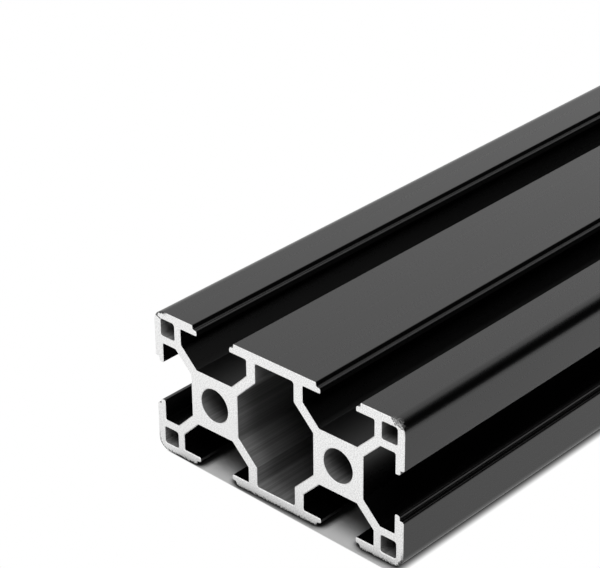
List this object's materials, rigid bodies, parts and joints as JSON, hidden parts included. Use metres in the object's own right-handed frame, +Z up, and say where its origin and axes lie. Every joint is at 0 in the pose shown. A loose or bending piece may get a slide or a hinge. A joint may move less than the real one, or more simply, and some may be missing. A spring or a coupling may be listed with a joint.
{
  "type": "aluminium extrusion profile",
  "caption": "Straight bar of black T-slot aluminium profile with square-sawn ends, stepped slots along every side, a round bore in each core and a hollow middle, for bolted frames.",
  "frame": {"origin": "on the floor, under the middle of the bar", "axes": "+X across the section, along its wide side; +Y along the bar, away from the sawn end that the picture shows; +Z up"},
  "size_m": [0.06, 0.5, 0.03],
  "materials": {
    "anodised_aluminium": "black anodised, satin; the sawn ends are bare metal"
  },
  "bodies": {
    "root": {"profile_bar": "anodised_aluminium"}
  },
  "joints": []
}
